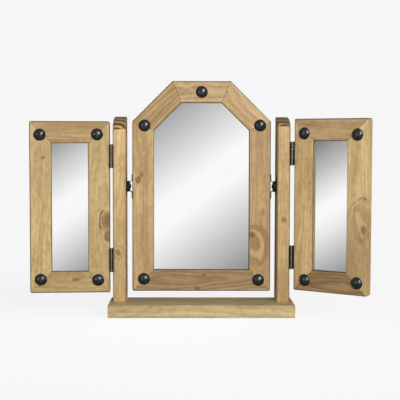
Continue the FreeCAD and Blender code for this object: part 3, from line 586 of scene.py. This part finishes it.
def round_corners(front, corners, radius, first=0):
    """Cutter that rounds the outer corners of a frame, given in order round it."""
    turn = front.to_3x3()

    def cut(shape):
        for before, corner, after in list(zip(corners[-1:] + corners[:-1], corners,
                                              corners[1:] + corners[:1]))[first:]:
            here = Vector((corner[0], 0, corner[1]))
            ways = [(Vector((end[0], 0, end[1])) - here).normalized() for end in (before, after)]
            inward = (ways[0] + ways[1]).normalized()
            half = math.acos(inward.dot(ways[0]))
            hub = here + inward * radius / math.sin(half)
            for lean in (-0.6, 0.0, 0.6):
                out = -(Matrix.Rotation(lean * (math.pi / 2 - half), 3, "Y") @ inward)
                made = bmesh.ops.bisect_plane(
                    shape, geom=shape.verts[:] + shape.edges[:] + shape.faces[:],
                    plane_co=front @ (hub + out * radius), plane_no=turn @ out, clear_outer=True)
                rim = [item for item in made["geom_cut"] if isinstance(item, bmesh.types.BMEdge)]
                if rim:
                    bmesh.ops.holes_fill(shape, edges=rim, sides=0)
        shade(shape)

    return cut


def frame_corners(width, height, clip=0.0):
    side = width / 2
    if clip:
        tops = [(side, height - clip), (side - clip, height), (clip - side, height),
                (-side, height - clip)]
    else:
        tops = [(side, height), (-side, height)]
    return [(-side, 0), (side, 0), *tops]


def finish_frame(name, body, front, places, corners, boards):
    """Every rail of a frame. Knots are given at (right, up) on the frame's front."""
    cut = round_corners(front, corners, FRAME_CORNER)
    for rail, grain in boards.items():
        middle, heading, mitres = places[rail]
        local = Matrix.Translation(middle) @ along_frame(heading)
        knots = []
        for right, up, *rest in grain.pop("knots", ()):
            spot = local.inverted() @ Vector((right * MM, 0, up * MM))
            knots.append((spot.x / MM, spot.z / MM, *rest))
        finish_board(f"{name}_{rail}", body, front @ local, shape_it=cut, mitres=mitres,
                     knots=knots, **grain)


# Board by board: how strong the painted shade is along a rail's edges and on rounded edges, with
# the dark wax in a rail's joints.
centre_boards = {
    "bottom_rail": dict(
        tone=(0.735, 0.725, 0.725), figure=1.1, streaks=1.3, pith=(4, 30), rail_shade_and_joints=1.25,
        knots=[(-9, 6, 5, 9, 5, 0.9), (5, 36, 3, 5, 2, 0.8)]),
    "right_stile": dict(
        tone=(0.82, 0.765, 0.69), figure=0.5, pith=(2, 26), rail_shade_and_joints=1.3,
        knots=[(109, 123, 9, 8, 3, 0.85), (116, 104, 28, 36, 12, 0.30, (1.04, 65, 1.5, 0.4)),
               (128, 68, 14, 20, 3, 0.2), (133, 175, 14, 22, 3.5, 0.2)]),
    "right_shoulder": dict(tone=(1.06, 1.03, 1.02), figure=0.65, pith=(-20, 50)),
    "top_rail": dict(
        tone=(1.01, 0.99, 1.01), figure=0.75, pith=(6, 30), knots=[(-8, 440, 8, 16, 6, 0.5)]),
    "left_shoulder": dict(tone=(0.88, 0.83, 0.76), figure=0.75, streaks=1.0, pith=(20, 45)),
    "left_stile": dict(
        tone=(1.03, 0.99, 0.91), figure=0.5, streaks=0.9, pith=(30, 30), rail_shade_and_joints=0.6,
        pool=(124, 85, 0.22),
        knots=[(-138, 242, 6.5, 7, 8, 1.3), (-130, 253, 8, 9, 4, 0.6),
               (-122, 263, 9, 12, 2, 0.45)]),
}
left_wing_boards = {
    "bottom_rail": dict(
        tone=(0.94, 0.97, 0.90), figure=0.5, streaks=0.9, pith=(-10, 35),
        knots=[(13, 29, 7, 15, 6, 0.55)]),
    "inner_stile": dict(
        tone=(0.98, 0.97, 0.91), figure=0.4, pith=(20, 40),
        knots=[(81, 156, 13, 17, 12, 1.05, (1.45, 172, 2.2, 1.0)), (80, 121, 6, 12, 7, 1.0),
               (62, 140, 12, 16, 1.5, 0.3), (62.5, 226, 1.6, 3, 2, 1.0)]),
    "top_rail": dict(tone=(1.01, 1.01, 0.94), figure=0.8, streaks=1.2, pith=(12, 35)),
    "outer_stile": dict(
        tone=(1.10, 1.11, 1.06), figure=0.4, pith=(35, 50), knots=[(-57, 293, 10, 7, 5, 0.5)]),
}
right_wing_boards = {
    "bottom_rail": dict(tone=(0.67, 0.60, 0.53), figure=1.2, streaks=1.3, pith=(6, 26)),
    "outer_stile": dict(
        tone=(1.36, 1.39, 1.31), figure=0.45, pith=(0, 24), rail_shade_and_joints=0.6, edges=0.5,
        pool=(-110, 85, 0.50),
        knots=[(78, 138, 8, 12, 5, 1.0), (73, 118, 6, 10, 3, 0.6), (80, 203, 11, 7, 1.5, 0.5),
               (75, 150, 32, 52, 6, 0.35, (1.05, 125, 1.6, 0.5)),
               (64, 166, 9, 22, 3, 0.34, (1.1, 150, 1.3, 0.35))]),
    "top_rail": dict(tone=(0.95, 0.89, 0.84), figure=0.35, pith=(-20, 50)),
    "inner_stile": dict(tone=(1.30, 1.29, 1.21), figure=0.5, streaks=0.8, pith=(25, 35)),
}
posts = {
    "left_post": dict(
        tone=(1.36, 1.39, 1.34), figure=0.5, streaks=0.7, pith=(-14, -66), edges=0.5,
        pool=(-150, 120, 0.46), knots=[(-2, -94, 12, 14, 12, 0.42), (-2, -94, 6, 7, 1, 1.4)]),
    "right_post": dict(
        tone=(1.11, 1.08, 1.01), figure=0.5, streaks=0.9, pith=(-3, -37), edges=0.6,
        pool=(-150, 120, 0.28), knots=[(1, -24, 10, 14, 5, 0.5)]),
}

finish_frame("centre", "centre_mirror", CENTRE,
             rail_places(CENTRE_WIDTH, CENTRE_HEIGHT, CENTRE_CLIP),
             frame_corners(CENTRE_WIDTH, CENTRE_HEIGHT, CENTRE_CLIP), centre_boards)

wing_corners = frame_corners(WING_WIDTH, WING_HEIGHT)
for name, place, boards, inner, outer in (
        ("left_wing", LEFT_WING, left_wing_boards, "right_stile", "left_stile"),
        ("right_wing", RIGHT_WING, right_wing_boards, "left_stile", "right_stile")):
    wing_places = rail_places(WING_WIDTH, WING_HEIGHT)
    wing_places.update(inner_stile=wing_places[inner], outer_stile=wing_places[outer])
    finish_frame(name, name, place, wing_places, wing_corners, boards)

POST_GRAIN_HEIGHT, BASE_GRAIN_HEIGHT = 0.23, 0.0145
for name, grain in posts.items():
    low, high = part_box(name)
    outline = [(low.x, low.z), (high.x, low.z), (high.x, high.z), (low.x, high.z)]
    middle = Vector(((low.x + high.x) / 2, (low.y + high.y) / 2, POST_GRAIN_HEIGHT))
    finish_board(name, "stand", Matrix.Translation(middle),
                 shape_it=round_corners(STAND, outline, POST_CORNER, first=2), **grain)
finish_board("base_board", "stand",
             Matrix.Translation((0, 0, BASE_GRAIN_HEIGHT)) @ Matrix.Rotation(math.pi / 2, 4, "Y"),
             tone=(1.04, 1.14, 1.16), figure=0.5, streaks=0.6, pith=(-20, 30), aged=0.15)


# ------------------------------------------------- forged studs and screws

def geometry_tree(name, inputs):
    tree = bpy.data.node_groups.new(name, "GeometryNodeTree")
    for label, kind, default in (("Marks", "Geometry", None), *inputs):
        socket = tree.interface.new_socket(label, in_out="INPUT", socket_type=f"NodeSocket{kind}")
        if default is not None:
            socket.default_value = default
    tree.interface.new_socket("Pieces", in_out="OUTPUT", socket_type="NodeSocketGeometry")
    b = Board(tree)
    return b, b.add("NodeGroupInput").outputs


def end_tree(b, shape, material):
    """Realised pieces in their material, as the last nodes of a tree."""
    real = b.add("GeometryNodeRealizeInstances", {0: shape})
    coated = b.add("GeometryNodeSetMaterial", {"Geometry": real, "Material": material})
    b.add("NodeGroupOutput", {0: coated})
    return b.tree


# The sheet that a stud is rolled from: its length in radii, its rows and its columns
SHEET, SHEET_ROWS, SHEET_COLUMNS = 1.12, 15, 29


def stud_tree():
    """Round dome closed underneath, beaten by hand, on each mark with its face to -Y.

    A flat sheet is rolled up: its X runs from the crown to the rim, and its last row
    closes the underside. Its Y runs once round.
    """
    b, given = geometry_tree("forged_studs", (
        ("Radius", "Float", STUD_RADIUS), ("Rise", "Float", STUD_RISE),
        ("Beating", "Float", 0.22 * MM), ("Seed", "Int", 1), ("Iron", "Material", None)))
    sheet = b.add("GeometryNodeMeshGrid", {
        "Size X": SHEET, "Size Y": 1.0, "Vertices X": SHEET_ROWS, "Vertices Y": SHEET_COLUMNS})
    spot = b.parts(b.add("GeometryNodeInputPosition"))
    out = b.math("MINIMUM", b.math("ADD", spot[0], SHEET / 2), 1.0)
    turn = b.math("MULTIPLY", spot[1], 2 * math.pi)
    ball = b.math("DIVIDE", b.math("ADD", b.math("POWER", given["Radius"], 2.0),
                                   b.math("POWER", given["Rise"], 2.0)),
                  b.math("MULTIPLY", given["Rise"], 2.0))
    span = b.math("ARCSINE", b.math("DIVIDE", given["Radius"], ball))
    angle = b.math("MULTIPLY", out, span)
    before_last = b.math("LESS_THAN", spot[0], SHEET / 2 - SHEET / SHEET_ROWS / 2)
    reach = b.math("MULTIPLY", b.math("MULTIPLY", b.math("SINE", angle), ball), before_last)
    drop = b.math("SUBTRACT", b.math("COSINE", angle), b.math("COSINE", span))
    drop = b.math("MULTIPLY", drop, ball)
    where = b.whole(b.math("MULTIPLY", reach, b.math("COSINE", turn)),
                    b.math("MULTIPLY", drop, -1.0),
                    b.math("MULTIPLY", reach, b.math("SINE", turn)))
    # Each point keeps its share from crown to rim, which the iron's painted shade follows.
    noted = b.add("GeometryNodeStoreNamedAttribute", {
        "Geometry": sheet, "Name": "rim", "Value": out}, data_type="FLOAT", domain="POINT")
    dome = b.add("GeometryNodeSetPosition", {"Geometry": noted, "Position": where})
    weld = b.add("GeometryNodeMergeByDistance", {"Geometry": dome, "Distance": 0.02 * MM})
    spin = b.add("FunctionNodeRandomValue", {
        "Min": (0, 0, 0), "Max": (0, 2 * math.pi, 0), "Seed": given["Seed"]},
        data_type="FLOAT_VECTOR")
    nailed = b.add("GeometryNodeInstanceOnPoints", {
        "Points": given["Marks"], "Instance": weld, "Rotation": spin})
    real = b.add("GeometryNodeRealizeInstances", {0: nailed})
    spot = b.add("GeometryNodeInputPosition")
    blows = b.add("ShaderNodeTexNoise", {"Vector": spot, "Scale": 130.0, "Detail": 1.0},
                  noise_dimensions="3D")
    raised = b.math("LESS_THAN", b.parts(spot)[1], -0.4 * MM)
    dent = b.math("MULTIPLY", b.math("MULTIPLY", blows.outputs["Fac"], given["Beating"]), raised)
    beaten = b.add("GeometryNodeSetPosition", {"Geometry": real, "Offset": b.whole(y=dent)})
    return end_tree(b, b.add("GeometryNodeSetShadeSmooth", {0: beaten}), given["Iron"])


def screw_tree():
    """Countersunk slotted screw on each mark, its head facing along the mark's axis."""
    b, given = geometry_tree("countersunk_screws", (
        ("Head radius", "Float", 2.7 * MM), ("Shank radius", "Float", 1.5 * MM),
        ("Length", "Float", 15 * MM), ("Seed", "Int", 1), ("Steel", "Material", None)))
    sink = b.math("SUBTRACT", given["Head radius"], given["Shank radius"])

    def lowered(shape, drop):
        fall = b.whole(z=b.math("MULTIPLY", drop, -1.0))
        return b.add("GeometryNodeTransform", {"Geometry": shape, "Translation": fall})

    head = b.add("GeometryNodeMeshCone", {
        "Vertices": 18, "Radius Top": given["Head radius"], "Radius Bottom": given["Shank radius"],
        "Depth": sink})
    blade = b.add("GeometryNodeMeshCube", {"Size": b.whole(*(
        b.math("MULTIPLY", given["Head radius"], share) for share in (3.0, 0.3, 0.36)))})
    slotted = b.add("GeometryNodeMeshBoolean", {0: lowered(head, sink), 1: blade},
                    operation="DIFFERENCE")
    rest = b.math("SUBTRACT", given["Length"], sink)
    shank = b.add("GeometryNodeMeshCylinder", {
        "Vertices": 10, "Radius": given["Shank radius"], "Depth": rest})
    screw = b.add("GeometryNodeJoinGeometry", {0: slotted})
    b.plug(lowered(shank, b.math("ADD", sink, b.math("MULTIPLY", rest, 0.5))), screw.inputs[0])
    axis = b.add("GeometryNodeInputNamedAttribute", {"Name": "axis"}, data_type="FLOAT_VECTOR")
    aim = b.add("FunctionNodeAlignRotationToVector", {"Vector": axis.outputs["Attribute"]},
                axis="Z")
    chance = b.add("FunctionNodeRandomValue", {
        "Min": (0, 0, 0), "Max": (0, 0, math.pi), "Seed": given["Seed"]},
        data_type="FLOAT_VECTOR")
    turned = b.add("FunctionNodeRotateRotation", {"Rotation": aim, "Rotate By": chance},
                   rotation_space="LOCAL")
    driven = b.add("GeometryNodeInstanceOnPoints", {
        "Points": given["Marks"], "Instance": screw, "Rotation": turned})
    return end_tree(b, driven, given["Steel"])


def grown(name, tree, marks, axes, settings, place):
    """Plain mesh of a tree's pieces on marks given in a placement's own coordinates."""
    mesh = bpy.data.meshes.new(f"{name}_marks")
    mesh.from_pydata(marks, [], [])
    way = mesh.attributes.new("axis", "FLOAT_VECTOR", "POINT")
    for item, axis in zip(way.data, axes):
        item.vector = axis
    piece = placed(name, mesh)
    make = piece.modifiers.new("make", "NODES")
    make.node_group = tree
    for socket in tree.interface.items_tree:
        if socket.name in settings:
            make[socket.identifier] = settings[socket.name]
    settle(piece)
    piece.data.transform(place)
    shape = bmesh.new()
    shape.from_mesh(piece.data)
    bmesh.ops.remove_doubles(shape, verts=shape.verts, dist=1e-7)
    bmesh.ops.recalc_face_normals(shape, faces=shape.faces)
    shape.to_mesh(piece.data)
    shape.free()
    return piece


def solids(node, place):
    """Corner points of each separate solid of a node, in a placement's coordinates."""
    shape = bmesh.new()
    shape.from_mesh(nodes[node].data)
    bmesh.ops.remove_doubles(shape, verts=shape.verts, dist=1e-6)
    into, found, seen = place.inverted(), [], set()
    for start in shape.verts:
        if start in seen:
            continue
        seen.add(start)
        island, waiting = [], [start]
        while waiting:
            corner = waiting.pop()
            island.append(into @ corner.co)
            for link in corner.link_edges:
                other = link.other_vert(corner)
                if other not in seen:
                    seen.add(other)
                    waiting.append(other)
        found.append(island)
    shape.free()
    return found


def middle_of(points):
    low = [min(p[i] for p in points) for i in range(3)]
    high = [max(p[i] for p in points) for i in range(3)]
    return Vector([(a + b) / 2 for a, b in zip(low, high)])


STUDS = stud_tree()
for seed, (name, body, place) in enumerate((("centre", "centre_mirror", CENTRE),
                                            ("left_wing", "left_wing", LEFT_WING),
                                            ("right_wing", "right_wing", RIGHT_WING)), start=3):
    marks = []
    for island in solids(f"{name}_studs", place):
        centre = middle_of([p for p in island if p.y < -0.1 * MM])
        marks.append((centre.x, 0, centre.z))
    piece = grown(f"{name}_forged_studs", STUDS, marks, [], {"Iron": IRON, "Seed": seed}, place)
    enter(piece, body, f"{name}_studs")


def screw_marks(node, place, way):
    """Middle of each screw's head and the way that it faces, along one local axis."""
    marks, axes = [], []
    for island in solids(node, place):
        ends = []
        for sign in (-1, 1):
            axis = Vector(way) * sign
            top = max(p.dot(axis) for p in island)
            rim = [p for p in island if p.dot(axis) > top - 0.05 * MM]
            centre = middle_of(rim)
            ends.append((max((p - centre).length for p in rim), centre, axis))
        _, centre, axis = max(ends, key=lambda end: end[0])
        marks.append(centre)
        axes.append(axis)
    return marks, axes


SCREWS = screw_tree()
SMALL = {"Head radius": 2.6 * MM, "Shank radius": 1.4 * MM, "Length": 15 * MM}
LARGE = {"Head radius": 4.3 * MM, "Shank radius": 2.1 * MM, "Length": 65 * MM}
BRIGHT = (0, 0, 1), LARGE, ZINC_STEEL, "bright_steel"
BLACK = (1, 0, 0), SMALL, BLACK_STEEL, "black_steel"
for seed, (node, body, place, (way, sizes, steel, slot)) in enumerate((
        ("base_screws", "stand", STAND, BRIGHT),
        ("pivot_plate_screws", "stand", STAND, BLACK),
        ("post_hinge_screws", "stand", STAND, BLACK),
        ("pivot_strap_screws", "centre_mirror", CENTRE, BLACK),
        ("left_wing_hinge_screws", "left_wing", LEFT_WING, BLACK),
        ("right_wing_hinge_screws", "right_wing", RIGHT_WING, BLACK)), start=11):
    marks, axes = screw_marks(node, place, way)
    settings = dict(sizes, Steel=steel, Seed=seed)
    piece = grown(f"{node}_slotted", SCREWS, marks, axes, settings, place)
    enter(piece, body, node)


# ------------------------------------------------- hinges, pivots, glass, backs

BACK_AND_GLASS = {
    "_glass": MIRROR, "back_board": HARDBOARD, "_retaining_points": ZINC_STEEL}
body_names = {holder: name for name, holder in frame["bodies"].items()}
for node, solid in nodes.items():
    for ending, material in BACK_AND_GLASS.items():
        if node.endswith(ending):
            coat(solid.data, material)
    if ("hinge" in node or "pivot" in node) and not node.endswith("_screws"):
        piece, shape = merged_copy(node, f"{node}_smooth")
        eased(piece, shape, HINGE_STEEL if "hinge" in node else BLACK_STEEL,
              lambda edge: edge.calc_face_angle(0.0) > math.radians(60), 0.15 * MM)
        enter(piece, body_names[solid.parent], node)


# ----------------------------------------------------------------- the studio

OBJECT_MIDDLE = Vector((0, 0, 0.25))
CAMERA_PLACE = Vector((-0.02877, -2.0605, 0.3761))
CAMERA_TURN, CAMERA_LENS = (90 - 3.523, -0.147, -0.701), 85.679

camera = placed("camera", bpy.data.cameras.new("camera"))
camera.data.lens = CAMERA_LENS
camera.data.sensor_width = 36.0
camera.location = CAMERA_PLACE
camera.rotation_euler = Euler([math.radians(turn) for turn in CAMERA_TURN])
bpy.context.scene.camera = camera

# Linear level of the plain paper behind and under the object
PAPER = 0.921


def softbox(name, place, size, power, diffuse=True, glossy=True):
    """Round lamp in a soft cover, aimed at the middle of the object."""
    lamp = bpy.data.lights.new(name, "AREA")
    lamp.shape = "DISK"
    lamp.size = size
    lamp.energy = power
    holder = placed(name, lamp)
    holder.location = place
    holder.visible_diffuse = diffuse
    holder.visible_glossy = glossy
    aim = OBJECT_MIDDLE - Vector(place)
    holder.rotation_euler = aim.to_track_quat("-Z", "Y").to_euler()


softbox("key_softbox", (1.8, -3.6, 1.4), 1.8, 94)
softbox("side_softbox", (2.6, -1.6, 0.7), 1.0, 22, glossy=False)
softbox("fill_softbox", (-2.6, -2.6, 0.8), 1.2, 32)
softbox("glint_softbox", (1.7, -2.1, 1.9), 0.9, 92, diffuse=False)


def make_world():
    """Plain paper behind the object, and soft air that is darker overhead."""
    world = bpy.data.worlds.new("studio_air")
    world.use_nodes = True
    bpy.context.scene.world = world
    world.node_tree.nodes.clear()
    b = Board(world.node_tree)
    path = b.add("ShaderNodeLightPath").outputs
    up = b.parts(b.add("ShaderNodeTexCoord").outputs["Generated"])[2]
    soft = b.mix(b.spread(up, -0.2, 0.9), (0.56, 0.56, 0.56), (0.08, 0.08, 0.08))
    glow = b.mix(b.spread(up, -0.1, 0.8), (0.03, 0.03, 0.035), (0.50, 0.50, 0.51))
    air = b.mix(path["Is Glossy Ray"], soft, glow)
    air = b.mix(path["Is Camera Ray"], air, (PAPER, PAPER, PAPER))
    b.add("ShaderNodeOutputWorld", {0: b.add("ShaderNodeBackground", {"Color": air})})


make_world()


def make_floor():
    """Pale floor: plain paper far off, with the object's soft shadow near it."""
    mesh = bpy.data.meshes.new("floor")
    shape = bmesh.new()
    bmesh.ops.create_circle(shape, cap_ends=True, segments=64, radius=12)
    shape.to_mesh(mesh)
    shape.free()
    floor = placed("floor", mesh)
    material, b, given = new_material("pale_floor")
    near = b.spread(b.vector("LENGTH", given["Object"]), 1.0, 0.35)
    path = b.add("ShaderNodeLightPath").outputs
    lit = b.add("ShaderNodeBsdfDiffuse", {"Color": b.mix(near, (0, 0, 0), (0.2, 0.2, 0.2))})
    paper = b.add("ShaderNodeEmission", {
        "Color": b.mix(near, (PAPER,) * 3, (PAPER - 0.08,) * 3)})
    seen = b.add("ShaderNodeAddShader", {0: lit, 1: paper})
    plain = b.add("ShaderNodeBsdfDiffuse", {"Color": (0.5, 0.5, 0.5)})
    b.output(b.add("ShaderNodeMixShader", {0: path["Is Camera Ray"], 1: plain, 2: seen}))
    mesh.materials.append(material)


make_floor()


def linear(level):
    """Linear light of a display level from 0 to 255."""
    return ((level / 255 + 0.055) / 1.055) ** 2.4


# How much light silvered glass gives back, and how far a card's band runs past its ends
SILVER, CARD_MARGIN, RUN_OVER = 0.935, 0.04, 0.25


def card_material(name, levels, slant, margin):
    """Glowing card: a diagonal band of white between grey ends, fading at its edges."""
    material, b, _ = new_material(name)
    own = b.parts(b.add("ShaderNodeUVMap", uv_map="card"))
    across = b.math("MULTIPLY", b.math("SUBTRACT", own[0], 0.5), slant)
    travel = b.math("ADD", across, b.math("SUBTRACT", 1 + RUN_OVER, own[1]))
    ramp = b.add("ShaderNodeValToRGB", {0: b.math("DIVIDE", travel, 1 + 2 * RUN_OVER)})
    elements = ramp.color_ramp.elements
    while len(elements) < len(levels):
        elements.new(0.5)
    for element, (position, level) in zip(elements, levels):
        element.position = (position + RUN_OVER) / (1 + 2 * RUN_OVER)
        element.color = (*(linear(level) / SILVER,) * 3, 1.0)
    inside = 1.0
    for side, edge in zip(own[:2], margin):
        off = b.math("SUBTRACT", b.math("ABSOLUTE", b.math("SUBTRACT", side, 0.5)), 0.5)
        inside = b.math("MULTIPLY", inside, b.spread(off, edge, edge * 0.15))
    b.output(b.add("ShaderNodeMixShader", {
        0: inside, 1: b.add("ShaderNodeBsdfTransparent"),
        2: b.add("ShaderNodeEmission", {"Color": ramp})}))
    return material


def reflection_card(name, pane, place, distance, levels, slant):
    """Card that fills a pane of mirror when it is looked at from the front."""
    into = place.inverted()
    points = [into @ corner.co for corner in nodes[pane].data.vertices]
    normal = (place.to_3x3() @ Vector((0, -1, 0))).normalized()
    front = min(p.y for p in points)
    centre = middle_of(points)
    half = (max(p.x for p in points) - centre.x, max(p.z for p in points) - centre.z)
    growth = 1 + distance / (CAMERA_PLACE - place @ centre).length
    margin = [CARD_MARGIN / (2 * h * growth) for h in half]

    def bounced(x, z):
        start = place @ Vector((x, front, z))
        ray = (start - CAMERA_PLACE).normalized()
        return start, ray - 2 * ray.dot(normal) * normal

    start, heading = bounced(centre.x, centre.z)
    target = start + heading * distance
    corners, marks = [], []
    for side, height in ((-1, -1), (1, -1), (1, 1), (-1, 1)):
        start, ray = bounced(centre.x + side * half[0] * (1 + 2 * margin[0]),
                             centre.z + height * half[1] * (1 + 2 * margin[1]))
        corners.append(start + ray * ((target - start).dot(heading) / ray.dot(heading)))
        marks.append((0.5 + side * (0.5 + margin[0]), 0.5 + height * (0.5 + margin[1])))
    mesh = bpy.data.meshes.new(name)
    mesh.from_pydata(corners, [], [(0, 1, 2, 3)])
    layer = mesh.uv_layers.new(name="card")
    for loop, mark in zip(layer.data, marks):
        loop.uv = mark
    mesh.materials.append(card_material(f"{name}_light", levels, slant, margin))
    card = placed(name, mesh)
    for ray in ("camera", "diffuse", "transmission", "volume_scatter", "shadow"):
        setattr(card, f"visible_{ray}", False)


reflection_card("centre_card", "centre_glass", CENTRE, 0.60, [
    (-0.15, 145), (0.04, 186), (0.19, 212), (0.34, 236), (0.43, 248), (0.59, 248), (0.72, 230),
    (0.90, 199), (1.20, 136)], 0.44)
reflection_card("left_card", "left_wing_glass", LEFT_WING, 0.20, [
    (-0.10, 148), (0.0, 171), (0.13, 199), (0.27, 225), (0.41, 247), (0.58, 247), (0.70, 231),
    (0.90, 195), (1.10, 148)], 0.24)
reflection_card("right_card", "right_wing_glass", RIGHT_WING, 0.57, [
    (-0.10, 112), (0.0, 139), (0.20, 189), (0.40, 235), (0.47, 247), (0.56, 247), (0.68, 232),
    (0.90, 184), (1.10, 131)], 0.18)

bpy.context.scene.view_settings.view_transform = "Standard"
